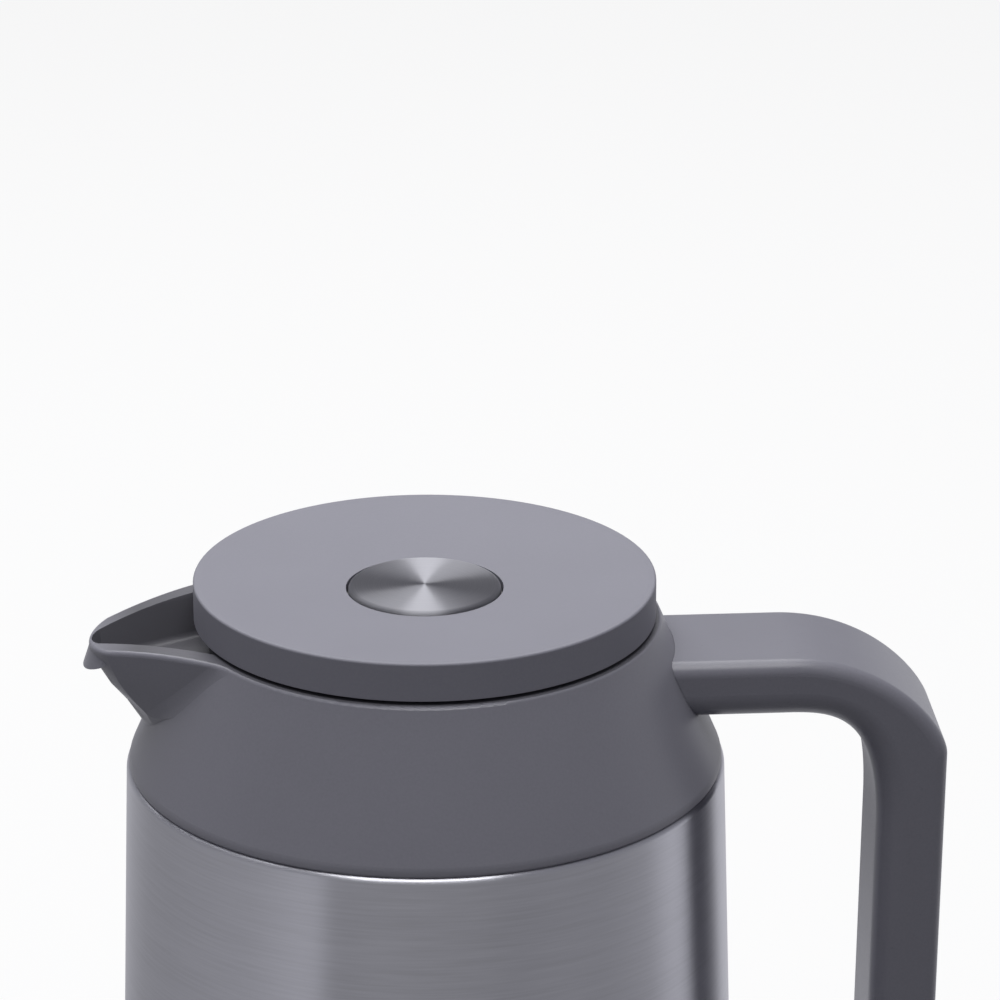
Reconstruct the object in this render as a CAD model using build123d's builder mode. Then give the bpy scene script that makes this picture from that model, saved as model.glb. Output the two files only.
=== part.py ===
from build123d import *
import os
from math import atan2, cos, radians, sin, tan

# A thermal jug: a double-walled steel vessel, a plastic collar with its spout, a strap handle and
# a screw-in stopper lid with a push-button valve. Millimetres, +Z up, origin under the body's axis
# on the table, spout towards -X and handle towards +X.

# Steel body and vessel
seam_height = 122.0
seam_radius = 65.0
body_flare = 4.0
shell_foot = 5.0
steel_wall = 0.6
vacuum_gap = 5.0
seam_edge_round = 1.2
shoulder_ledge = 4.5
neck_rise = 20.0
neck_radius = 45.1
neck_foot_rise = 15.0
neck_gap = 0.5
vessel_corner = 14.0
base_cup_height = 5.0
getter_radius = 6.0
getter_height = 1.2
plug_radius = 4.0
plug_height = 1.2

# Base cover and foot ring
foot_drop = 1.2
foot_inset = 8.0
foot_width = 6.0
foot_height = 2.4
cover_floor = 2.5
cover_plug_height = 2.4
cover_wall = 2.4

# Collar
collar_inset = 0.6
collar_height = 32.6
rim_radius = 50.9
rim_width = 4.0
rim_edge_round = 0.9
collar_wall = 2.6
skirt_rise = 1.5
skirt_turn = 0.84
flange_thickness = 2.5
gasket_thickness = 1.5
funnel_wall = 2.0
core_depth = 0.3

# Spout, its heights measured from the seam and its reaches from the cone at their own height
beak_half_angle = 32.0
beak_blend = 4.5
beak_tip_radius = 14.2
beak_tip_half_width = 10.0
beak_foot = (6.0, -1.5)
beak_waist = (15.0, 5.5)
beak_throat = (22.3, 14.4)
beak_rim = (28.8, 20.0)
beak_crown = (collar_height, 23.0)
rim_droop_start = 47.0
lip_foot = 23.5
lip_rise = 5.0
lip_reach = 18.9
lip_half_width = 9.0
lip_run = 6.0
lip_draft = 18.0
lip_tilt = 31.0
rim_droop = 3.9
channel_floor = 24.1
channel_half_angle = 29.0
channel_reach = 14.9
channel_tip_radius = 3.3
channel_tip_half_width = 1.5
channel_draft = 24.0
channel_round = 2.0

# Handle
handle_width = 32.0
arm_thickness = 13.5
grip_thickness = 14.7
handle_rise = 18.9
handle_reach = 112.5
bend_run = 35.0
outer_bend_drop = 23.1
outer_arm_pull = 22.5
outer_grip_pull = 6.0
inner_bend_drop = 27.8
inner_arm_pull = 9.6
inner_grip_pull = 27.5
grip_lean = 0.75
grip_foot = 28.0
outer_edge_round = 3.0
inner_edge_round = 6.4
tip_round = 4.0
liner_width = 17.0
liner_depth = 2.0
hollow_depth = 7.0
hollow_margin = 10.0
root_solid = 10.0
screw_drop = 2.0
screw_spread = 8.0
screw_radius = 1.5
screw_length = 16.0
screw_head_radius = 3.0
screw_head_height = 2.0
screw_boss_radius = 4.4
screw_boss_stand = 4.2

# Neck insert and stopper barrel
insert_wall = 1.4
insert_depth = 17.6
insert_flange = 1.6
ledge_width = 3.6
ledge_thickness = 1.5
thread_room = 2.2
barrel_wall = 2.0
seal_thickness = 2.0
nose_depth = 4.5
stopper_floor = 2.0
valve_opening = 13.5
post_count = 8
post_width = 4.0
plate_thickness = 2.4
plate_seat = 0.7
window_rise = 0.6
seal_width = 3.0

# Lid disc and button well
lid_radius = 49.8
lid_height = 8.3
lid_gap = 0.9
lid_edge_round = 1.0
lid_rim_width = 1.6
lid_dish = 2.6
lid_skin = 2.4
lid_skirt = 3.4
well_radius = 17.0
well_wall = 2.0
well_depth = 24.7
well_floor = 1.5
rib_count = 8
rib_width = 3.2
rib_height = 1.3
rib_length = 6.2
rib_turn = 22.5

# Button, latch and valve
button_radius = 16.5
button_edge_round = 1.2
button_stand = 0.7
button_skin = 0.9
button_depth = 2.0
button_travel = 5.0
plunger_flange = 2.0
skirt_length = 4.6
skirt_wall = 2.0
tooth_height = 1.2
key_width = 3.2
platform_play = 0.7
boss_drop = 6.9
rotor_height = 2.8
rotor_web = 1.4
lug_width = 2.2
boss_radius = 5.0
stem_radius = 3.0
stem_groove_radius = 2.2
stem_seal_radius = 5.4
stem_seal_height = 1.5
spring_radius = 9.5
spring_wire = 1.0
spring_turns = 5
hub_radius = 5.6
hub_height = 4.0
spoke_count = 3
spoke_width = 2.4
valve_overlap = 2.1
valve_thickness = 2.2
valve_seal_thickness = 2.0
valve_seal_width = 4.5
clip_radius = 5.0
clip_thickness = 0.7
stem_tail = 1.0

# Clearances
snug = 0.05
running = 0.1
free = 0.3

# Heights and radii that follow from them
lip_height = seam_height + neck_rise
neck_foot = seam_height + neck_foot_rise
shoulder_radius = seam_radius - shoulder_ledge
mouth_radius = neck_radius - steel_wall - neck_gap
cup_top = shell_foot + base_cup_height
foot_radius = seam_radius + body_flare - foot_inset
vessel_floor = cup_top + vacuum_gap
flange_bottom = lip_height + gasket_thickness
flange_top = flange_bottom + flange_thickness
rim_height = seam_height + collar_height
funnel_radius = rim_radius - rim_width
insert_radius = mouth_radius - steel_wall - 2 * running
insert_bore = insert_radius - insert_wall
insert_top = flange_top + insert_flange
ledge_bottom = insert_top - insert_depth
ledge_top = ledge_bottom + ledge_thickness
barrel_radius = insert_bore - thread_room
nose_radius = barrel_radius - barrel_wall
seal_top = ledge_top + seal_thickness
nose_bottom = seal_top - seal_thickness - nose_depth
lid_bottom = rim_height + lid_gap
lid_top = lid_bottom + lid_height
dish_height = lid_top - lid_dish
plate_radius = funnel_radius - 2 * free
plate_top = lid_bottom + plate_seat
plate_bottom = plate_top - plate_thickness
well_bottom = dish_height - well_depth
well_outer = well_radius + well_wall
button_top = dish_height + button_stand
plunger_top = button_top - button_skin
cap_bottom = button_top - button_depth
rib_top = cap_bottom - button_travel - free
flange_low = cap_bottom - plunger_flange
skirt_bottom = flange_low - skirt_length
rotor_top = skirt_bottom - free
rotor_bottom = rotor_top - rotor_height
skirt_radius = well_radius - rib_height - free
boss_foot = flange_low - boss_drop
platform_radius = button_radius - platform_play
window_foot = insert_top + window_rise
valve_top = nose_bottom - snug
valve_radius = valve_opening + valve_overlap
disc_top = valve_top - valve_seal_thickness
disc_bottom = disc_top - valve_thickness
clip_top = disc_bottom - snug
stem_bottom = clip_top - clip_thickness - stem_tail
stem_top = plunger_top - plunger_flange - 2 * free
handle_height = seam_height + handle_rise
bend_start = handle_reach - bend_run
screw_height = handle_height - screw_drop


def body_radius(height):
    """Outside radius of the steel body, which widens evenly down to the table."""
    return seam_radius + body_flare * (1 - height / seam_height)


def cone_radius(height):
    """Outside radius of the collar's cone at a height above the table."""
    low = seam_radius - collar_inset
    share = (height - seam_height - skirt_rise) / (collar_height - skirt_rise)
    return low + (rim_radius - low) * share


screw_seat = cone_radius(screw_height) - collar_wall - screw_boss_stand
lip_tip = cone_radius(seam_height + lip_foot) + lip_reach
channel_tip = cone_radius(seam_height + channel_floor) + channel_reach

# The outer shell is one drawn wall: body, rounded top edge, shoulder and neck
with BuildPart() as outer_shell:
    with BuildSketch(Plane.XZ):
        with BuildLine():
            shell_line = FilletPolyline(
                (body_radius(shell_foot), shell_foot),
                (seam_radius, seam_height),
                (shoulder_radius, seam_height),
                (neck_radius, neck_foot),
                (neck_radius, lip_height - steel_wall),
                radius=[seam_edge_round, 2 * seam_edge_round, vacuum_gap])
            offset(shell_line, amount=steel_wall, side=Side.LEFT)
        make_face()
    revolve()

# The inner vessel holds the drink; its rolled lip closes the vacuum at the top
with BuildPart() as inner_vessel:
    wall_inset = steel_wall + vacuum_gap
    shoulder_low = seam_height - wall_inset
    with BuildSketch(Plane.XZ):
        with BuildLine():
            vessel_line = FilletPolyline(
                (0, vessel_floor),
                (body_radius(vessel_floor) - wall_inset, vessel_floor),
                (body_radius(shoulder_low) - wall_inset, shoulder_low),
                (mouth_radius, neck_foot - vacuum_gap / 2),
                (mouth_radius, lip_height),
                radius=[vessel_corner, vacuum_gap, vacuum_gap])
            offset(vessel_line, amount=steel_wall, side=Side.LEFT)
        make_face()
        with Locations((mouth_radius - steel_wall, lip_height)):
            Rectangle(neck_radius - mouth_radius + steel_wall, steel_wall, align=(Align.MIN, Align.MAX))
    revolve()

# The base cup is welded into the shell's foot and closes the vacuum at the bottom
with BuildPart() as base_cup:
    cup_foot = body_radius(shell_foot) - steel_wall - snug
    cup_rim = body_radius(cup_top) - steel_wall - snug
    with BuildSketch(Plane.XZ):
        with BuildLine():
            cup_line = FilletPolyline(
                (cup_foot, shell_foot), (cup_rim, cup_top), (0, cup_top), radius=[4 * steel_wall])
            offset(cup_line, amount=steel_wall, side=Side.LEFT)
        make_face()
    revolve()

with BuildPart() as getter:
    with BuildSketch(Plane.XY.offset(cup_top)):
        with Locations((body_radius(0) / 2, 0)):
            Circle(getter_radius)
    extrude(amount=getter_height)

with BuildPart() as vacuum_plug:
    with BuildSketch(Plane.XY.offset(cup_top - steel_wall)):
        Circle(plug_radius)
    extrude(amount=-plug_height)
    fillet(vacuum_plug.faces().sort_by(Axis.Z)[0].edges(), plug_height / 3)

# The base cover snaps into the cup's skirt and carries the rubber foot ring
with BuildPart() as base_cover:
    cover_radius = body_radius(shell_foot) - snug
    cover_plug = body_radius(shell_foot + cover_plug_height) - 2 * steel_wall - 2 * snug - running
    cover_top = shell_foot - snug
    with BuildSketch(Plane.XZ):
        with BuildLine():
            Polyline(
                (0, foot_drop),
                (cover_radius, foot_drop),
                (cover_radius, cover_top),
                (cover_plug, cover_top),
                (cover_plug, shell_foot + cover_plug_height),
                (cover_plug - cover_wall, shell_foot + cover_plug_height),
                (cover_plug - cover_wall, foot_drop + cover_floor),
                (0, foot_drop + cover_floor),
                close=True)
        make_face()
        with Locations((foot_radius, foot_drop)):
            Rectangle(foot_width, foot_drop, align=(Align.MAX, Align.MIN), mode=Mode.SUBTRACT)
    revolve()
    fillet(base_cover.edges().filter_by(GeomType.CIRCLE).group_by(Axis.Z)[0].sort_by(SortBy.RADIUS)[-1], 1.5)

with BuildPart() as foot_ring:
    with BuildSketch(Plane.XZ):
        with Locations((foot_radius - foot_width / 2, foot_height / 2)):
            RectangleRounded(foot_width - 2 * snug, foot_height, foot_height / 4)
    revolve()

# The spout's outline in plan: straight flanks that end in a round tip
def beak_outline(rise, reach, half_angle, tip_radius, tip_half_width):
    """Sketch of the spout at a height above the seam, its tip a reach from the axis towards -X."""
    tip_sag = tip_radius - (tip_radius ** 2 - tip_half_width ** 2) ** 0.5
    flank_end = tip_sag - reach
    root = -funnel_radius / 2
    root_half_width = tip_half_width + (root - flank_end) * tan(radians(half_angle))
    with BuildSketch(Plane.XY.offset(seam_height + rise)) as outline:
        with BuildLine():
            Polyline(
                (flank_end, tip_half_width),
                (root, root_half_width),
                (root, -root_half_width),
                (flank_end, -tip_half_width))
            ThreePointArc((flank_end, -tip_half_width), (-reach, 0), (flank_end, tip_half_width))
        make_face()
    return outline.sketch


# The lip is the small drip edge that stands proud under the tip of the spout
with BuildPart() as lip:
    with BuildSketch(Plane.XY.offset(seam_height + lip_foot)):
        with BuildLine():
            lip_side = lip_tip - beak_tip_radius + (beak_tip_radius ** 2 - lip_half_width ** 2) ** 0.5
            ThreePointArc((-lip_side, lip_half_width), (-lip_tip, 0), (-lip_side, -lip_half_width))
            lip_root_half_width = lip_half_width + lip_run * tan(radians(beak_half_angle))
            Polyline(
                (-lip_side, -lip_half_width),
                (lip_run - lip_side, -lip_root_half_width),
                (lip_run - lip_side, lip_root_half_width),
                (-lip_side, lip_half_width))
        make_face()
    extrude(amount=lip_rise, taper=lip_draft)
    split(bisect_by=Plane(
        origin=(-lip_tip, 0, seam_height + lip_foot),
        z_dir=(-sin(radians(lip_tilt)), 0, cos(radians(lip_tilt)))))

# The channel is drafted, so that it is wider at the rim than at its floor
with BuildPart() as channel:
    channel_rise = collar_height + rim_droop - channel_floor
    channel_spread = channel_rise * tan(radians(channel_draft))
    loft([
        beak_outline(
            channel_floor, channel_tip, channel_half_angle,
            channel_tip_radius, channel_tip_half_width),
        beak_outline(
            channel_floor + channel_rise, channel_tip + channel_spread, channel_half_angle,
            channel_tip_radius + channel_spread, channel_tip_half_width + channel_spread)])
    fillet(channel.faces().sort_by(Axis.Z)[0].edges().sort_by(Axis.X)[:3], channel_round)

# The core is the space under the collar that the steel neck stands in
with BuildPart() as core:
    core_top = flange_bottom + core_depth
    with BuildSketch(Plane.XZ):
        with BuildLine():
            Polyline(
                (0, seam_height - 1),
                (cone_radius(seam_height + skirt_rise) - collar_wall, seam_height - 1),
                (cone_radius(seam_height + skirt_rise) - collar_wall, seam_height + skirt_rise),
                (cone_radius(core_top) - collar_wall, core_top),
                (funnel_radius + funnel_wall, core_top),
                (funnel_radius + funnel_wall, flange_bottom),
                (0, flange_bottom),
                close=True)
        make_face()
    revolve()
    loft([
        beak_outline(
            rise, cone_radius(seam_height + rise) + reach - collar_wall, beak_half_angle,
            beak_tip_radius - collar_wall, beak_tip_half_width - collar_wall)
        for rise, reach in (beak_foot, beak_waist, beak_throat)])
    with BuildSketch(Plane.YZ.offset(screw_seat)):
        with Locations((-screw_spread, screw_height), (screw_spread, screw_height)):
            Circle(screw_boss_radius)
    extrude(amount=seam_radius - screw_seat, mode=Mode.SUBTRACT)

# The collar: a cone with a level rim, a spout on -X, a funnel inside and a flange on the gasket
with BuildPart() as collar:
    with BuildSketch(Plane.XZ):
        with BuildLine():
            cone_lean = atan2(seam_radius - collar_inset - rim_radius, collar_height - skirt_rise)
            FilletPolyline(
                (0, seam_height),
                (seam_radius - collar_inset, seam_height),
                (seam_radius - collar_inset, seam_height + skirt_rise),
                (rim_radius, rim_height),
                (0, rim_height),
                radius=[collar_inset, skirt_turn / tan(cone_lean / 2), 0])
            Line((0, rim_height), (0, seam_height))
        make_face()
    revolve()
    loft([
        beak_outline(
            rise, cone_radius(seam_height + rise) + reach, beak_half_angle,
            beak_tip_radius, beak_tip_half_width)
        for rise, reach in (beak_foot, beak_waist, beak_throat, beak_rim, beak_crown)])
    cone_edges = collar.faces().filter_by(GeomType.CONE).sort_by(SortBy.AREA)[-1].edges()
    beak_edges = cone_edges.filter_by(lambda edge: edge.geom_type not in (GeomType.LINE, GeomType.CIRCLE))
    fillet(beak_edges.sort_by(Axis.X)[-2:], beak_blend)
    add(lip.part)
    with BuildSketch(Plane.XZ):
        with BuildLine():
            droop = TangentArc(
                (-rim_droop_start, rim_height), (-lip_tip, rim_height - rim_droop), tangent=(-1, 0))
            Polyline(
                droop @ 1,
                droop @ 1 + droop % 1 * rim_width,
                (-lip_tip - rim_width, seam_radius + rim_height),
                (seam_radius, seam_radius + rim_height),
                (seam_radius, rim_height),
                droop @ 0)
        make_face()
    extrude(amount=seam_radius, both=True, mode=Mode.SUBTRACT)
    rim_edges = collar.edges().filter_by_position(Axis.Z, rim_height - rim_droop, rim_height)
    fillet(rim_edges.filter_by(lambda edge: edge.geom_type != GeomType.LINE), rim_edge_round)
    add(core.part, mode=Mode.SUBTRACT)
    add(channel.part, mode=Mode.SUBTRACT)
    with BuildSketch(Plane.XY.offset(flange_top)):
        Circle(funnel_radius)
    extrude(amount=collar_height, mode=Mode.SUBTRACT)
    with BuildSketch(Plane.XY.offset(flange_bottom)):
        Circle(insert_radius + running)
    extrude(amount=flange_thickness, mode=Mode.SUBTRACT)
    with BuildSketch(Plane.YZ.offset(screw_seat)):
        with Locations((-screw_spread, screw_height), (screw_spread, screw_height)):
            Circle(screw_radius + running)
    extrude(amount=seam_radius - screw_seat, mode=Mode.SUBTRACT)

with BuildPart() as collar_gasket:
    with BuildSketch(Plane.XY.offset(lip_height)):
        Circle(neck_radius + gasket_thickness)
        Circle(insert_radius + running, mode=Mode.SUBTRACT)
    extrude(amount=gasket_thickness)

# The handle is a strap cut from its side profile, with a hollow behind its inner face
def bend_line(arm_height, grip_radius, drop, arm_pull, grip_pull):
    """One long edge of the strap in side view, from the arm's root round the bend to the grip's foot."""
    lean = tan(radians(grip_lean))
    bend_low = arm_height - drop
    with BuildLine() as line:
        Line((arm_root, arm_height), (bend_start, arm_height))
        Bezier(
            (bend_start, arm_height),
            (bend_start + arm_pull, arm_height),
            (grip_radius + grip_pull * lean, bend_low + grip_pull),
            (grip_radius, bend_low))
        Line((grip_radius, bend_low), (grip_radius - (bend_low - grip_foot) * lean, grip_foot))
    return line.line


def inner_line(depth):
    """The strap's inner edge in side view, or a line at a depth behind it."""
    return bend_line(
        handle_height - arm_thickness / 2 + depth, handle_reach - grip_thickness + depth,
        inner_bend_drop, inner_arm_pull, inner_grip_pull)


def inner_band(depth, clearance):
    """Side profile of what lies behind the strap's inner edge, between the hollow's two ends."""
    with BuildSketch(Plane.XZ) as band:
        with BuildLine():
            face_line = inner_line(0)
            back_line = inner_line(depth)
            add(face_line)
            add(back_line)
            Line(face_line @ 0, back_line @ 0)
            Line(face_line @ 1, back_line @ 1)
        make_face()
        with Locations((hollow_root + clearance, hollow_foot + clearance)):
            Rectangle(handle_reach, handle_height, align=Align.MIN, mode=Mode.INTERSECT)
    return band.sketch


arm_root = cone_radius(handle_height) - arm_thickness
hollow_root = cone_radius(handle_height) + root_solid
hollow_foot = grip_foot + hollow_margin

with BuildPart() as handle_seat:
    with BuildSketch(Plane.XZ):
        with BuildLine():
            Polyline(
                (0, seam_height),
                (cone_radius(seam_height) + snug, seam_height),
                (rim_radius + snug, rim_height),
                (0, rim_height),
                close=True)
        make_face()
    revolve()

with BuildPart() as handle:
    with BuildSketch(Plane.XZ):
        with BuildLine():
            inner_edge = inner_line(0)
            outer_edge = bend_line(
                handle_height + arm_thickness / 2, handle_reach,
                outer_bend_drop, outer_arm_pull, outer_grip_pull)
            add(inner_edge)
            add(outer_edge)
            Line(inner_edge @ 0, outer_edge @ 0)
            Line(inner_edge @ 1, outer_edge @ 1)
        make_face()
    extrude(amount=handle_width / 2, both=True)
    fillet(handle.faces().filter_by(Axis.Z).sort_by(Axis.Z)[-1].edges().filter_by(Axis.X), outer_edge_round)
    fillet(handle.faces().filter_by(Axis.Z).sort_by(Axis.Z)[-2].edges().filter_by(Axis.X), inner_edge_round)
    fillet(handle.faces().sort_by(Axis.Z)[0].edges(), tip_round)
    add(handle_seat.part, mode=Mode.SUBTRACT)
    extrude(
        inner_band(hollow_depth + liner_depth, 0),
        amount=liner_width / 2, both=True, mode=Mode.SUBTRACT)
    with BuildSketch(Plane.YZ.offset(screw_seat)):
        with Locations((-screw_spread, screw_height), (screw_spread, screw_height)):
            Circle(screw_radius + snug)
    extrude(amount=screw_length + 4 * running, mode=Mode.SUBTRACT)

with BuildPart() as handle_cover:
    extrude(
        inner_band(liner_depth, snug),
        amount=liner_width / 2 - snug, both=True)

with BuildPart() as handle_screws:
    with BuildSketch(Plane.YZ.offset(screw_seat)):
        with Locations((-screw_spread, screw_height), (screw_spread, screw_height)):
            Circle(screw_radius)
    extrude(amount=screw_length)
    with BuildSketch(Plane.YZ.offset(screw_seat)):
        with Locations((-screw_spread, screw_height), (screw_spread, screw_height)):
            Circle(screw_head_radius)
    extrude(amount=-screw_head_height)
    fillet(handle_screws.faces().group_by(Axis.X)[0].edges(), screw_head_height / 3)

# The neck insert carries the inside thread and the ledge that the stopper's seal closes on
with BuildPart() as neck_insert:
    with BuildSketch(Plane.XZ):
        with BuildLine():
            Polyline(
                (insert_bore, insert_top),
                (insert_bore, ledge_top),
                (insert_bore - ledge_width, ledge_top),
                (insert_bore - ledge_width, ledge_bottom),
                (insert_radius, ledge_bottom),
                (insert_radius, flange_top),
                (funnel_radius - free, flange_top),
                (funnel_radius - free, insert_top),
                close=True)
        make_face()
    revolve()

with BuildPart() as stopper_seal:
    with BuildSketch(Plane.XZ):
        with Locations((nose_radius + snug, ledge_top + seal_thickness / 2)):
            RectangleRounded(
                seal_width, seal_thickness - 2 * snug, seal_thickness / 4, align=(Align.MIN, Align.CENTER))
    revolve()

# The stopper's barrel hangs from its top plate, with the pouring windows under the plate
with BuildPart() as stopper_body:
    with BuildSketch(Plane.XZ):
        with BuildLine():
            Polyline(
                (nose_radius - barrel_wall, seal_top),
                (barrel_radius, seal_top),
                (barrel_radius, plate_bottom),
                (plate_radius, plate_bottom),
                (plate_radius, plate_top),
                (well_outer + snug, plate_top),
                (well_outer + snug, plate_bottom),
                (nose_radius, plate_bottom),
                (nose_radius, seal_top + barrel_wall),
                (nose_radius - barrel_wall, seal_top + barrel_wall),
                close=True)
        make_face()
    revolve()
    window_chord = 2 * barrel_radius * sin(radians(180 / post_count)) - post_width
    with BuildSketch(Plane.XY.offset(window_foot)):
        with PolarLocations(barrel_radius, post_count, start_angle=180):
            Rectangle(thread_room + 2 * barrel_wall, window_chord)
    extrude(amount=plate_bottom - window_foot, mode=Mode.SUBTRACT)

# The valve seat is welded under the barrel: the stopper's nose, and a spider that guides the stem
with BuildPart() as valve_seat:
    with BuildSketch(Plane.XZ):
        with BuildLine():
            Polyline(
                (valve_opening, nose_bottom),
                (nose_radius, nose_bottom),
                (nose_radius, seal_top),
                (nose_radius - barrel_wall, seal_top),
                (nose_radius - barrel_wall, nose_bottom + stopper_floor),
                (valve_opening, nose_bottom + stopper_floor),
                close=True)
        make_face()
    revolve()
    with BuildSketch(Plane.XY.offset(nose_bottom + stopper_floor)):
        with PolarLocations(hub_radius / 2 + valve_radius / 2, spoke_count):
            Rectangle(valve_radius - hub_radius + spoke_width, spoke_width)
    extrude(amount=stopper_floor)
    with BuildSketch(Plane.XY.offset(nose_bottom + stopper_floor)):
        Circle(hub_radius)
    extrude(amount=hub_height)
    with BuildSketch(Plane.XY.offset(nose_bottom)):
        Circle(stem_radius + free)
    extrude(amount=stopper_floor + hub_height, mode=Mode.SUBTRACT)

# The lid disc: a dished top with a flat rim, and a deep well for the button and its latch
with BuildPart() as lid_disc:
    with BuildSketch(Plane.XZ):
        with BuildLine():
            Polyline(
                (lid_radius, lid_bottom),
                (lid_radius, lid_top),
                (lid_radius - lid_rim_width, lid_top),
                (well_radius, dish_height),
                (well_radius, well_bottom),
                (stem_radius + free, well_bottom),
                (stem_radius + free, well_bottom - well_floor),
                (well_outer, well_bottom - well_floor),
                (well_outer, dish_height - lid_skin),
                (lid_radius - lid_skirt, lid_top - lid_skin),
                (lid_radius - lid_skirt, lid_bottom),
                close=True)
        make_face()
    revolve()
    fillet(lid_disc.faces().sort_by(Axis.Z)[-1].edges(), lid_edge_round / 2)
    with BuildSketch(Plane.XY.offset(rib_top)):
        with PolarLocations(well_radius, rib_count, start_angle=rib_turn):
            Rectangle(2 * rib_height, rib_width)
    extrude(amount=-rib_length)

with BuildPart() as stem_seal:
    with BuildSketch(Plane.XY.offset(well_bottom)):
        Circle(stem_seal_radius)
        Circle(stem_radius + snug, mode=Mode.SUBTRACT)
    extrude(amount=stem_seal_height)
    fillet(stem_seal.edges().group_by(Axis.Z)[-1].sort_by(SortBy.RADIUS)[-1], stem_seal_height / 3)

# The spring stands on the floor of the well and pushes the latch rotor up
with BuildPart() as return_spring:
    coil_low = well_bottom + spring_wire / 2
    coil_height = rotor_bottom - well_bottom - spring_wire
    with BuildLine() as coil:
        Helix(coil_height / spring_turns, coil_height, spring_radius, center=(0, 0, coil_low))
    with BuildSketch(Plane(origin=coil.line @ 0, z_dir=coil.line % 0)):
        Circle(spring_wire / 2)
    sweep(path=coil.line)

# The button: a steel cap pressed over the plunger
with BuildPart() as button_cap:
    with BuildSketch(Plane.XY.offset(cap_bottom)):
        Circle(button_radius)
    extrude(amount=button_depth)
    fillet(button_cap.faces().sort_by(Axis.Z)[-1].edges(), button_edge_round)
    with BuildSketch(Plane.XY.offset(cap_bottom)):
        Circle(platform_radius + snug)
    extrude(amount=button_depth - button_skin, mode=Mode.SUBTRACT)

with BuildPart() as plunger:
    with BuildSketch(Plane.XY.offset(flange_low)):
        Circle(skirt_radius)
        with PolarLocations(skirt_radius, rib_count, start_angle=rib_turn + 180 / rib_count):
            Rectangle(2 * (rib_height - free / 2), key_width)
    extrude(amount=plunger_flange)
    with BuildSketch(Plane.XY.offset(cap_bottom)):
        Circle(platform_radius)
    extrude(amount=plunger_top - cap_bottom - snug)
    with BuildSketch(Plane.XY.offset(skirt_bottom)):
        Circle(skirt_radius)
        Circle(skirt_radius - skirt_wall, mode=Mode.SUBTRACT)
    extrude(amount=skirt_length)
    with BuildSketch(Plane.XY.offset(boss_foot)):
        Circle(boss_radius)
    extrude(amount=flange_low - boss_foot)
    with BuildSketch(Plane.XY.offset(boss_foot)):
        Circle(stem_radius + snug)
    extrude(amount=stem_top + snug - boss_foot, mode=Mode.SUBTRACT)
    with BuildSketch(Plane.XZ):
        with Locations((0, skirt_bottom)):
            Triangle(a=2 * tooth_height, b=2 ** 0.5 * tooth_height, c=2 ** 0.5 * tooth_height)
    tooth_cut = extrude(amount=skirt_radius + free, mode=Mode.PRIVATE)
    add(PolarLocations(0, rib_count) * tooth_cut, mode=Mode.SUBTRACT)

with BuildPart() as latch_rotor:
    with BuildSketch(Plane.XY.offset(rotor_bottom)):
        Circle(skirt_radius)
        Circle(skirt_radius - skirt_wall - tooth_height, mode=Mode.SUBTRACT)
        with PolarLocations(skirt_radius, rib_count, start_angle=rib_turn + 180 / rib_count):
            Rectangle(2 * (rib_height - free / 2), lug_width)
    extrude(amount=rotor_height)
    with BuildSketch(Plane.XY.offset(rotor_bottom)):
        Circle(skirt_radius - skirt_wall)
        Circle(boss_radius + free, mode=Mode.SUBTRACT)
    extrude(amount=rotor_web)

# The valve hangs on the stem: a disc under the stopper's nose, its rubber ring and a clip
with BuildPart() as valve_stem:
    with BuildSketch(Plane.XY.offset(stem_bottom)):
        Circle(stem_radius)
    extrude(amount=stem_top - stem_bottom)
    chamfer(valve_stem.edges(), stem_radius / 8)
    with BuildSketch(Plane.XY.offset(clip_top - clip_thickness - snug)):
        Circle(stem_radius)
        Circle(stem_groove_radius, mode=Mode.SUBTRACT)
    extrude(amount=clip_thickness + 2 * snug, mode=Mode.SUBTRACT)

with BuildPart() as valve_disc:
    with BuildSketch(Plane.XY.offset(disc_bottom)):
        Circle(valve_radius)
    extrude(amount=valve_thickness)
    fillet(valve_disc.faces().sort_by(Axis.Z)[0].edges(), valve_thickness / 2)
    with BuildSketch(Plane.XY.offset(disc_top)):
        Circle(valve_radius - valve_seal_width - snug)
    extrude(amount=valve_seal_thickness / 2)
    with BuildSketch(Plane.XY.offset(disc_bottom)):
        Circle(stem_radius + snug)
    extrude(amount=valve_thickness + valve_seal_thickness, mode=Mode.SUBTRACT)

with BuildPart() as valve_seal:
    with BuildSketch(Plane.XY.offset(disc_top)):
        Circle(valve_radius)
        Circle(valve_radius - valve_seal_width, mode=Mode.SUBTRACT)
    extrude(amount=valve_seal_thickness - snug)
    fillet(valve_seal.edges().filter_by(GeomType.CIRCLE).sort_by(SortBy.RADIUS)[-2:], valve_seal_thickness / 4)

with BuildPart() as stem_clip:
    with BuildSketch(Plane.XY.offset(clip_top)):
        Circle(clip_radius)
        Circle(stem_groove_radius + snug, mode=Mode.SUBTRACT)
        with Locations((clip_radius, 0)):
            Rectangle(2 * clip_radius, 2 * stem_groove_radius - running, mode=Mode.SUBTRACT)
    extrude(amount=-clip_thickness)

os.makedirs("parts", exist_ok=True)
outer_shell.part.label = "outer_shell"
export_step(outer_shell.part, "parts/outer_shell.step")
inner_vessel.part.label = "inner_vessel"
export_step(inner_vessel.part, "parts/inner_vessel.step")
base_cup.part.label = "base_cup"
export_step(base_cup.part, "parts/base_cup.step")
getter.part.label = "getter"
export_step(getter.part, "parts/getter.step")
vacuum_plug.part.label = "vacuum_plug"
export_step(vacuum_plug.part, "parts/vacuum_plug.step")
base_cover.part.label = "base_cover"
export_step(base_cover.part, "parts/base_cover.step")
foot_ring.part.label = "foot_ring"
export_step(foot_ring.part, "parts/foot_ring.step")
collar.part.label = "collar"
export_step(collar.part, "parts/collar.step")
collar_gasket.part.label = "collar_gasket"
export_step(collar_gasket.part, "parts/collar_gasket.step")
handle.part.label = "handle"
export_step(handle.part, "parts/handle.step")
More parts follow.
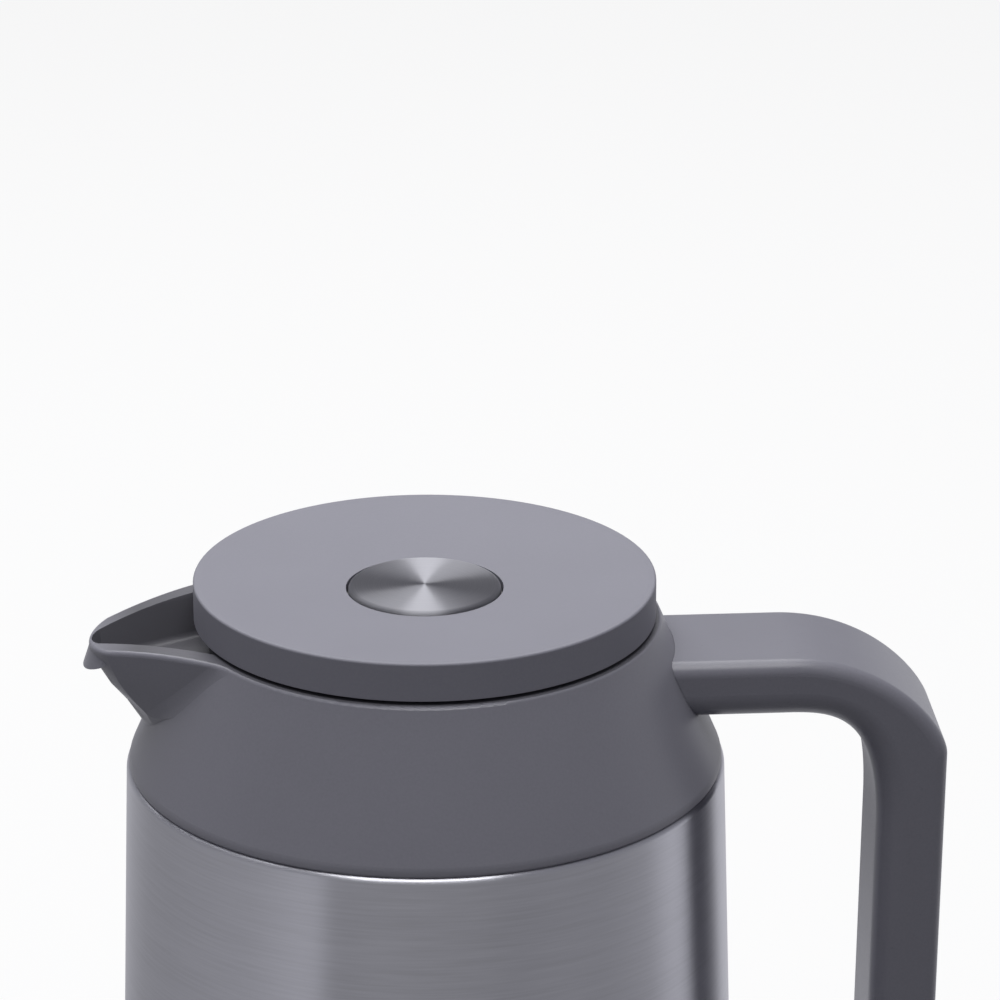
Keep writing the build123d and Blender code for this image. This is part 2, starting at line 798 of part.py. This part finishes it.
handle_cover.part.label = "handle_cover"
export_step(handle_cover.part, "parts/handle_cover.step")
handle_screws.part.label = "handle_screws"
export_step(handle_screws.part, "parts/handle_screws.step")
neck_insert.part.label = "neck_insert"
export_step(neck_insert.part, "parts/neck_insert.step")
stopper_seal.part.label = "stopper_seal"
export_step(stopper_seal.part, "parts/stopper_seal.step")
stopper_body.part.label = "stopper_body"
export_step(stopper_body.part, "parts/stopper_body.step")
valve_seat.part.label = "valve_seat"
export_step(valve_seat.part, "parts/valve_seat.step")
lid_disc.part.label = "lid_disc"
export_step(lid_disc.part, "parts/lid_disc.step")
stem_seal.part.label = "stem_seal"
export_step(stem_seal.part, "parts/stem_seal.step")
return_spring.part.label = "return_spring"
export_step(return_spring.part, "parts/return_spring.step")
button_cap.part.label = "button_cap"
export_step(button_cap.part, "parts/button_cap.step")
plunger.part.label = "plunger"
export_step(plunger.part, "parts/plunger.step")
latch_rotor.part.label = "latch_rotor"
export_step(latch_rotor.part, "parts/latch_rotor.step")
valve_stem.part.label = "valve_stem"
export_step(valve_stem.part, "parts/valve_stem.step")
valve_disc.part.label = "valve_disc"
export_step(valve_disc.part, "parts/valve_disc.step")
valve_seal.part.label = "valve_seal"
export_step(valve_seal.part, "parts/valve_seal.step")
stem_clip.part.label = "stem_clip"
export_step(stem_clip.part, "parts/stem_clip.step")
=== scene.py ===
import cmath
import math

import bmesh
import bpy
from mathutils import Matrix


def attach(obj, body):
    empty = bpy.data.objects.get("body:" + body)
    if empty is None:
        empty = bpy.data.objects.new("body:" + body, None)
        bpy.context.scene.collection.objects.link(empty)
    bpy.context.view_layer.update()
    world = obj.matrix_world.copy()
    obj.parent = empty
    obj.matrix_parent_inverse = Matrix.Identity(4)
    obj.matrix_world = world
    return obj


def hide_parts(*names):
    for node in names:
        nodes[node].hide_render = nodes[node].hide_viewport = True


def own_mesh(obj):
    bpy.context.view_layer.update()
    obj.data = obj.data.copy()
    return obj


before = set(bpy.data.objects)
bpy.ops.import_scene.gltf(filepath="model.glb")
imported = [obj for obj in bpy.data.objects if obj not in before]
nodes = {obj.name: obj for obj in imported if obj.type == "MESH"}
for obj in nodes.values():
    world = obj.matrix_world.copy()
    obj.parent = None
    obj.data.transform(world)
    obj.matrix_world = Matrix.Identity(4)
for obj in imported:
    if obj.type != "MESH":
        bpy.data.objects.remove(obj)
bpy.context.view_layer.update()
scene = bpy.context.scene
scene.view_settings.view_transform = "Standard"

# The camera stands a metre in front of the jug and looks down on its lid, with a long lens that
# keeps the jug's sides nearly parallel.
lens = bpy.data.cameras.new("long_lens")
lens.lens = 180
lens.sensor_width = 36
camera = bpy.data.objects.new("camera", lens)
camera.location = (-0.0536, -0.9986, 0.5589)
camera.rotation_euler = (math.radians(69.305), 0, math.radians(-4))
scene.collection.objects.link(camera)
scene.camera = camera


# The jug stands in a plain studio, on a round white table under two square lamps. The steel shows
# the walls as upright bands, and the camera sees plain white in their place.
class Socket:
    """An output in a node tree. Arithmetic on it adds Math nodes."""

    def __init__(self, owner, link):
        self.owner, self.link = owner, link

    def maths(self, operation, *values):
        return self.owner.node("ShaderNodeMath", {"operation": operation}, dict(enumerate(values)))

    def beside(self, name):
        """Another output of the same node."""
        return Socket(self.owner, self.link.node.outputs[name])

    def __add__(self, other):
        return self.maths("ADD", self, other)

    def __rsub__(self, other):
        return self.maths("SUBTRACT", other, self)

    def __mul__(self, other):
        return self.maths("MULTIPLY", self, other)

    def __truediv__(self, other):
        return self.maths("DIVIDE", self, other)


class Tree:
    """A node tree. node() adds any node: its type, its settings, then its values and links."""

    def __init__(self, tree):
        self.tree = tree

    def node(self, kind, settings, sockets, output=0):
        made = self.tree.nodes.new(kind)
        for name, value in settings.items():
            setattr(made, name, value)
        for name, value in sockets.items():
            if isinstance(value, Socket):
                self.tree.links.new(value.link, made.inputs[name])
            else:
                made.inputs[name].default_value = value
        return Socket(self, made.outputs[output])

    def join(self, value, node, socket):
        self.tree.links.new(value.link, self.tree.nodes[node].inputs[socket])

    def part(self, vector, axis):
        return self.node("ShaderNodeSeparateXYZ", {}, {0: vector}, axis)

    def blend(self, share, low, high):
        return self.node("ShaderNodeMix", {"data_type": "RGBA"}, {0: share, 6: low, 7: high}, 2)

    def ramp(self, value, stops):
        made = self.node("ShaderNodeValToRGB", {}, {"Fac": value})
        band = made.link.node.color_ramp
        for place, colour in stops[1:-1]:
            band.elements.new(place)
        for stop, (place, colour) in zip(band.elements, stops):
            stop.position, stop.color = place, (*colour, 1)
        return made


class Finish(Tree):
    """The material of one finish. Its constants go on the shader's own sockets."""

    def __init__(self, name, **constants):
        self.material = bpy.data.materials.new(name)
        self.material.use_nodes = True
        super().__init__(self.material.node_tree)
        self.shader = self.tree.nodes["Principled BSDF"]
        for socket, value in constants.items():
            self.shader.inputs[socket.replace("_", " ")].default_value = value

    def place(self):
        return self.node("ShaderNodeTexCoord", {}, {}, "Object")

    def noise(self, vector, scale, detail=2.0):
        return self.node("ShaderNodeTexNoise", {}, {
            "Vector": vector, "Scale": scale, "Detail": detail})

    def feed(self, socket, value):
        self.join(value, "Principled BSDF", socket)

    def bump(self, height, depth):
        self.feed("Normal", self.node("ShaderNodeBump", {}, {"Height": height, "Distance": depth}))


def studio(tree, place):
    """Brightness of the walls: from behind the jug by its handle, its front and its spout."""
    left = tree.part(place, "X") * -1.0
    front = tree.part(place, "Y") * -1.0
    turn = left.maths("ARCTAN2", left, front) / (2 * math.pi) + 0.5
    walls = [
        (0, 0.323), (0.035, 0.385), (0.07, 0.731), (0.1, 0.731), (0.128, 0.708), (0.153, 0.647),
        (0.179, 0.755), (0.2175, 0.832), (0.234, 0.77), (0.252, 0.616), (0.274, 0.4), (0.33, 0.316),
        (0.384, 0.308), (0.436, 0.262), (0.47, 0.246), (0.577, 0.277), (0.6, 0.293), (0.613, 0.554),
        (0.632, 0.562), (0.683, 0.439), (0.748, 0.385), (0.797, 0.347), (0.841, 0.347),
        (0.887, 0.447), (0.925, 0.578), (0.955, 0.462), (0.975, 0.323), (1, 0.323)]
    coolness = 1.06
    return tree.ramp(turn, [(spot, (grey, grey, coolness * grey)) for spot, grey in walls])


white = (1, 1, 1, 1)
ceiling = (0.30, 0.30, 0.33, 1)
scene.world = bpy.data.worlds.new("studio")
scene.world.use_nodes = True
air = Tree(scene.world.node_tree)
heading = air.node("ShaderNodeTexCoord", {}, {}, "Generated")
lift = air.node("ShaderNodeMapRange", {"interpolation_type": "SMOOTHSTEP"}, {
    "Value": air.part(heading, "Z"), "From Min": 0.03, "From Max": 0.26})
view = air.node("ShaderNodeLightPath", {}, {}, "Is Camera Ray")
strength = 1.0 - view.beside("Is Diffuse Ray") * 0.35
room = air.node("ShaderNodeVectorMath", {"operation": "SCALE"}, {
    0: air.blend(lift, studio(air, heading), ceiling), "Scale": strength})
air.join(air.blend(view, room, white), "Background", "Color")

bpy.ops.mesh.primitive_circle_add(vertices=96, radius=4, fill_type="NGON")
table = bpy.context.object
table.name = "table"
paint = Finish("table_top", Roughness=0.9)
ray = paint.node("ShaderNodeLightPath", {}, {}, "Is Camera Ray")
seen_white, bounced_white = (0.86, 0.86, 0.87, 1), (0.16, 0.16, 0.165, 1)
paint.feed("Base Color", paint.blend(ray.beside("Is Diffuse Ray"), seen_white, bounced_white))
glow = paint.node("ShaderNodeEmission", {}, {
    "Color": paint.blend(ray, studio(paint, paint.place()), white)})
mirrored, through = ray.beside("Is Glossy Ray"), ray.beside("Is Transmission Ray")
surface = paint.node("ShaderNodeMixShader", {}, {
    0: ray * 0.85 + mirrored * 0.9 + through * 0.9, 1: Socket(paint, paint.shader.outputs[0]),
    2: glow})
paint.join(surface, "Material Output", "Surface")
table.data.materials.append(paint.material)

for name, place, turn, size, power in (
        ("back_lamp", (-0.12, 0.55, 1.02), (-32, -8, 0), 0.9, 6.6),
        ("top_lamp", (-0.06, -0.26, 1.32), (12, -3, 0), 0.8, 8.0)):
    lamp = bpy.data.lights.new(name, "AREA")
    lamp.shape = "SQUARE"
    lamp.size = size
    lamp.energy = power
    holder = bpy.data.objects.new(name, lamp)
    holder.location = place
    holder.rotation_euler = [math.radians(angle) for angle in turn]
    scene.collection.objects.link(holder)


# The steel body is drawn in one piece from stainless sheet and brushed round and round, so its
# fine lines lie level. It turns in under the collar with a small radius and rises into the neck.
def corners(line, steps=10):
    """Points of a closed line of (radius, height, rounding) corners, as complex numbers."""
    points = []
    for here, (radius, height, rounding) in enumerate(line):
        corner = complex(radius, height)
        if not rounding:
            points.append(corner)
            continue
        back = complex(*line[here - 1][:2]) - corner
        on = complex(*line[(here + 1) % len(line)][:2]) - corner
        back, on = back / abs(back), on / abs(on)
        half = abs(cmath.phase(on / back)) / 2
        centre = corner + (back + on) / abs(back + on) * rounding / math.sin(half)
        start = corner + back * rounding / math.tan(half) - centre
        stop = corner + on * rounding / math.tan(half) - centre
        sweep = cmath.phase(stop / start)
        points += [
            centre + start * cmath.exp(1j * sweep * step / steps) for step in range(steps + 1)]
    return points


def walled(points, wall):
    """A line of points and back along it, a wall further in, as one closed outline."""
    inner = []
    for before, point, after in zip(points[:1] + points, points, points[1:] + points[-1:]):
        inner.append(point + 1j * (after - before) / abs(after - before) * wall)
    return points + inner[::-1]


def turned_piece(name, outline, finish, body, replaced, segments):
    """Spins a closed outline in millimetres round the jug's axis, in place of a CAD node."""
    work = bmesh.new()
    rings = []
    for point in outline:
        radius, height = point.real / 1000, point.imag / 1000
        rings.append([
            work.verts.new((radius * math.cos(angle), radius * math.sin(angle), height))
            for angle in (2 * math.pi * k / segments for k in range(segments if radius else 1))])
    for ring, other in zip(rings, rings[1:] + rings[:1]):
        if len(ring) == len(other) == 1:
            continue
        for k in range(segments):
            face = [ring[k % len(ring)], ring[(k + 1) % len(ring)],
                    other[(k + 1) % len(other)], other[k % len(other)]]
            work.faces.new(list(dict.fromkeys(face)))
    bmesh.ops.recalc_face_normals(work, faces=work.faces)
    mesh = bpy.data.meshes.new(name)
    work.to_mesh(mesh)
    work.free()
    mesh.shade_smooth()
    mesh.set_sharp_from_angle(angle=math.radians(32))
    mesh.materials.append(finish.material)
    piece = bpy.data.objects.new(name, mesh)
    scene.collection.objects.link(piece)
    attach(piece, body)
    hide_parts(replaced)
    return piece


brushed = Finish("brushed_body_steel", Metallic=1.0, Anisotropic=0.95, Anisotropic_Rotation=0.25)
streaks = brushed.noise(brushed.node("ShaderNodeMapping", {}, {
    "Vector": brushed.place(), "Scale": (60, 60, 1700)}), scale=1.0, detail=3.0)
clouds = brushed.noise(brushed.node("ShaderNodeMapping", {}, {
    "Vector": brushed.place(), "Scale": (25, 25, 260)}), scale=1.0)
brushed.feed("Base Color", brushed.ramp(streaks * 0.75 + clouds * 0.25, [
    (0.35, (0.53, 0.53, 0.565)), (0.5, (0.56, 0.56, 0.60)), (0.65, (0.59, 0.59, 0.63))]))
brushed.feed("Roughness", streaks * 0.10 + 0.27)
brushed.bump(streaks, 0.000012)

foot_radius, foot_height = 68.836, 5.0
seam_radius, seam_height = 65.0, 122.0
ledge_radius = 60.5
neck_radius, neck_foot, neck_top = 45.1, 137.0, 141.4
seam_edge, ledge_bend, neck_bend = 1.2, 2.4, 5.0
steel_wall = 0.6
shell = turned_piece("steel_body", walled(corners([
    (foot_radius, foot_height, 0), (seam_radius, seam_height, seam_edge),
    (ledge_radius, seam_height, ledge_bend), (neck_radius, neck_foot, neck_bend),
    (neck_radius, neck_top, 0)]), steel_wall), brushed, "jug", "outer_shell", segments=288)


# The vessel that holds the drink, the cup that closes the vacuum, its getter and plug, and the
# screws, the spring and the clip are of plain steel. It isn't brushed, only slightly cloudy.
def dress(finish, *names):
    for name in names:
        piece = nodes[name]
        piece.data.materials.clear()
        piece.data.materials.append(finish.material)


plain = Finish("plain_steel", Metallic=1.0)
cloudy = plain.noise(plain.place(), scale=60.0, detail=4.0)
plain.feed("Base Color", plain.ramp(cloudy, [(0.3, (0.50, 0.50, 0.51)), (0.7, (0.58, 0.58, 0.59))]))
plain.feed("Roughness", cloudy * 0.15 + 0.2)
dress(plain, "inner_vessel", "base_cup", "getter", "vacuum_plug", "handle_screws", "return_spring",
      "stem_clip")


# The valve's coil spring is wound from steel wire and stands in the lid's well. The button presses
# it together by 5 mm; here it is left at rest.
coil = bpy.data.objects.new("valve_spring", nodes["return_spring"].data.copy())
scene.collection.objects.link(coil)
wire = bmesh.new()
wire.from_mesh(coil.data)
bmesh.ops.remove_doubles(wire, verts=wire.verts, dist=0.00001)
wire.to_mesh(coil.data)
wire.free()
coil.data.shade_smooth()
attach(coil, "lid")
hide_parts("return_spring")
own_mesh(coil)


# The handle, its cover strip and the base cover are moulded from grey plastic. Their tools were
# spark eroded, which leaves a very fine grain, and two screws hold the handle from inside.
def moulded(name, dark, light, grain, rough, depth, **constants):
    """A moulded plastic or rubber: a fine grain, and a slow drift of its colour."""
    finish = Finish(name, **constants)
    speckle = finish.noise(finish.place(), grain)
    drift = finish.noise(finish.place(), scale=30.0)
    finish.colour = finish.ramp(speckle * 0.6 + drift * 0.4, [(0.3, dark), (0.7, light)])
    finish.feed("Base Color", finish.colour)
    finish.feed("Roughness", speckle * 0.15 + rough)
    finish.bump(speckle, depth)
    return finish


grey_plastic = moulded("grey_plastic", dark=(0.212, 0.210, 0.245), light=(0.232, 0.230, 0.268),
                       grain=1700.0, rough=0.24, depth=0.000008)
dress(grey_plastic, "handle", "handle_cover", "base_cover")


# The collar is moulded from the same plastic and snaps over the neck. Inside the mouth and the
# spout, below the rim, its colour is darkened: painted shade standing in for the shade there under
# the lid.
collar_plastic = moulded("collar_plastic", dark=(0.228, 0.226, 0.262), light=(0.250, 0.248, 0.288),
                         grain=1700.0, rough=0.28, depth=0.000008)
place = collar_plastic.place()
facing = collar_plastic.node("ShaderNodeNewGeometry", {}, {}, "Normal")
level = collar_plastic.node("ShaderNodeVectorMath", {"operation": "MULTIPLY"}, {
    0: facing, 1: (1, 1, 0)})
outward = collar_plastic.node("ShaderNodeVectorMath", {"operation": "DOT_PRODUCT"}, {
    0: place, 1: level}, "Value")
inward = collar_plastic.node("ShaderNodeMapRange", {}, {
    "Value": outward, "From Min": 0.020, "From Max": 0.010})
under_rim = collar_plastic.node("ShaderNodeMapRange", {}, {
    "Value": collar_plastic.part(place, "Z"), "From Min": 0.1585, "From Max": 0.1535})
# Painted shade: a dark colour on inward-facing faces below the rim, inside the mouth and the spout.
painted_shade = (0.095, 0.094, 0.107, 1)
collar_plastic.feed("Base Color", collar_plastic.blend(
    inward * under_rim, collar_plastic.colour, painted_shade))
dress(collar_plastic, "collar")


# The neck insert and the stopper are moulded in a darker plastic and carry the lid's thread: three
# right-hand ridges, 15 mm of rise to a turn, that fade out at both ends.
class Growth(Tree):
    """A geometry node tree with named sizes, made into one plain mesh."""

    def __init__(self, name, **sizes):
        super().__init__(bpy.data.node_groups.new(name, "GeometryNodeTree"))
        self.name, self.sizes = name, sizes
        sockets = self.tree.interface
        sockets.new_socket("Mesh", in_out="OUTPUT", socket_type="NodeSocketGeometry")
        self.keys = {
            size: sockets.new_socket(size, in_out="INPUT", socket_type="NodeSocketFloat").identifier
            for size in sizes}
        self.start = self.tree.nodes.new("NodeGroupInput")

    def size(self, name):
        return Socket(self, self.start.outputs[name])

    def grow(self, shape, finish, body):
        painted = self.node("GeometryNodeSetMaterial", {}, {
            "Geometry": shape, "Material": finish.material})
        self.tree.links.new(painted.link, self.tree.nodes.new("NodeGroupOutput").inputs[0])
        piece = bpy.data.objects.new(self.name, bpy.data.meshes.new(self.name))
        scene.collection.objects.link(piece)
        modifier = piece.modifiers.new(self.name, "NODES")
        modifier.node_group = self.tree
        for size, value in self.sizes.items():
            modifier[self.keys[size]] = value
        made = piece.evaluated_get(bpy.context.evaluated_depsgraph_get())
        piece.data = bpy.data.meshes.new_from_object(made)
        piece.modifiers.clear()
        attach(piece, body)
        return piece


def thread(name, finish, body, **sizes):
    """Ridges wound on a cylinder, as wide as Inner at their small radius and Outer at the large."""
    ridge = Growth(name, **sizes)
    starts, run_out = 3, 14.0
    along = ridge.node("GeometryNodeSplineParameter", {}, {})
    fade = along.maths("MINIMUM", along.maths("MINIMUM", along, 1.0 - along) * run_out, 1.0)
    wound = ridge.node("GeometryNodeCurveSpiral", {}, {
        "Resolution": 96, "Rotations": ridge.size("Turns"), "Start Radius": ridge.size("Radius"),
        "End Radius": ridge.size("Radius"), "Height": ridge.size("Turns") * ridge.size("Lead"),
        "Reverse": True})
    wound = ridge.node("GeometryNodeSetCurveNormal", {"mode": "Z_UP"}, {"Curve": wound})
    wound = ridge.node("GeometryNodeSetCurveRadius", {}, {"Curve": wound, "Radius": fade})
    section = ridge.node("GeometryNodeCurvePrimitiveQuadrilateral", {"mode": "TRAPEZOID"}, {
        "Height": ridge.size("Depth") * 2.0, "Bottom Width": ridge.size("Inner"),
        "Top Width": ridge.size("Outer"), "Offset": 0.0})
    section = ridge.node("GeometryNodeTransform", {}, {
        "Geometry": section, "Rotation": (0, 0, math.radians(-90))})
    swept = ridge.node("GeometryNodeCurveToMesh", {}, {
        "Curve": wound, "Profile Curve": section, "Fill Caps": True})
    turn = ridge.node("GeometryNodeInputIndex", {}, {}) * (2 * math.pi / starts)
    wreath = ridge.node("GeometryNodeInstanceOnPoints", {}, {
        "Points": ridge.node("GeometryNodePoints", {}, {"Count": starts}), "Instance": swept,
        "Rotation": ridge.node("ShaderNodeCombineXYZ", {}, {"Z": turn})})
    wreath = ridge.node("GeometryNodeTranslateInstances", {}, {
        "Instances": wreath,
        "Translation": ridge.node("ShaderNodeCombineXYZ", {}, {"Z": ridge.size("Low")})})
    wreath = ridge.node("GeometryNodeRealizeInstances", {}, {"Geometry": wreath})
    return ridge.grow(wreath, finish, body)


dark_plastic = moulded("inner_plastic", dark=(0.040, 0.040, 0.045), light=(0.052, 0.052, 0.058),
                       grain=900.0, rough=0.28, depth=0.000008)
dress(dark_plastic, "neck_insert", "stopper_body", "valve_seat")
thread("stopper_thread", dark_plastic, "lid", Radius=0.0396, Lead=0.015, Turns=0.6,
               Low=0.1365, Inner=0.0032, Outer=0.001, Depth=0.0018)
thread("neck_thread", dark_plastic, "jug", Radius=0.0418, Lead=0.015, Turns=0.4,
               Low=0.1390, Inner=0.001, Outer=0.0032, Depth=0.0014)


# The lid's disc is moulded from the collar's plastic in a more matt tool, with the button's well
# in its middle, and snaps onto the stopper.
lid_plastic = moulded("lid_plastic", dark=(0.250, 0.248, 0.288), light=(0.272, 0.270, 0.313),
                      grain=1700.0, rough=0.46, depth=0.000012, Specular_IOR_Level=0.3)
dress(lid_plastic, "lid_disc")


# The plunger, the latch ring, the stem and the valve's disc are moulded from natural acetal, which
# slides well. They are clipped together on the stem, through the lid's well.
acetal = moulded("valve_plastic", dark=(0.66, 0.66, 0.63), light=(0.72, 0.72, 0.69),
                 grain=500.0, rough=0.22, depth=0.000008)
dress(acetal, "plunger", "latch_rotor", "valve_stem", "valve_disc")


# The button's cap is pressed from steel sheet and turned, so its fine lines run in rings. It snaps
# over the plunger.
turned = Finish("button_steel", Metallic=1.0, Anisotropic=1.0, Anisotropic_Rotation=0.25)
across = turned.node("ShaderNodeVectorMath", {"operation": "MULTIPLY"}, {
    0: turned.place(), 1: (1, 1, 0)})
radius = turned.node("ShaderNodeVectorMath", {"operation": "LENGTH"}, {0: across}, "Value")
rings = turned.node("ShaderNodeTexNoise", {"noise_dimensions": "1D"}, {
    "W": radius * 3500.0, "Scale": 1.0, "Detail": 3.0})
turned.feed("Base Color", turned.ramp(rings, [
    (0.3, (0.30, 0.30, 0.325)), (0.7, (0.34, 0.34, 0.365))]))
turned.feed("Roughness", rings * 0.08 + 0.48)

cap_radius, cap_top, cap_edge = 16.5, 161.9, 1.2
cap_height, cap_wall, cap_skin = 2.0, 0.65, 0.9
cap = turned_piece("button_top", corners([
    (0, cap_top, 0), (cap_radius, cap_top, cap_edge), (cap_radius, cap_top - cap_height, 0),
    (cap_radius - cap_wall, cap_top - cap_height, 0),
    (cap_radius - cap_wall, cap_top - cap_skin, 0), (0, cap_top - cap_skin, 0)]),
    turned, "valve", "button_cap", segments=192)


# The rings that seal the collar, the stopper, the stem and the valve are moulded silicone. The
# ring that the jug stands on is black rubber, pressed into the base cover.
silicone = moulded("silicone", dark=(0.42, 0.42, 0.41), light=(0.48, 0.48, 0.47),
                   grain=900.0, rough=0.50, depth=0.00001)
dress(silicone, "collar_gasket", "stopper_seal", "stem_seal", "valve_seal")
rubber = moulded("foot_rubber", dark=(0.018, 0.018, 0.018), light=(0.028, 0.028, 0.028),
                 grain=1200.0, rough=0.60, depth=0.00002)
dress(rubber, "foot_ring")
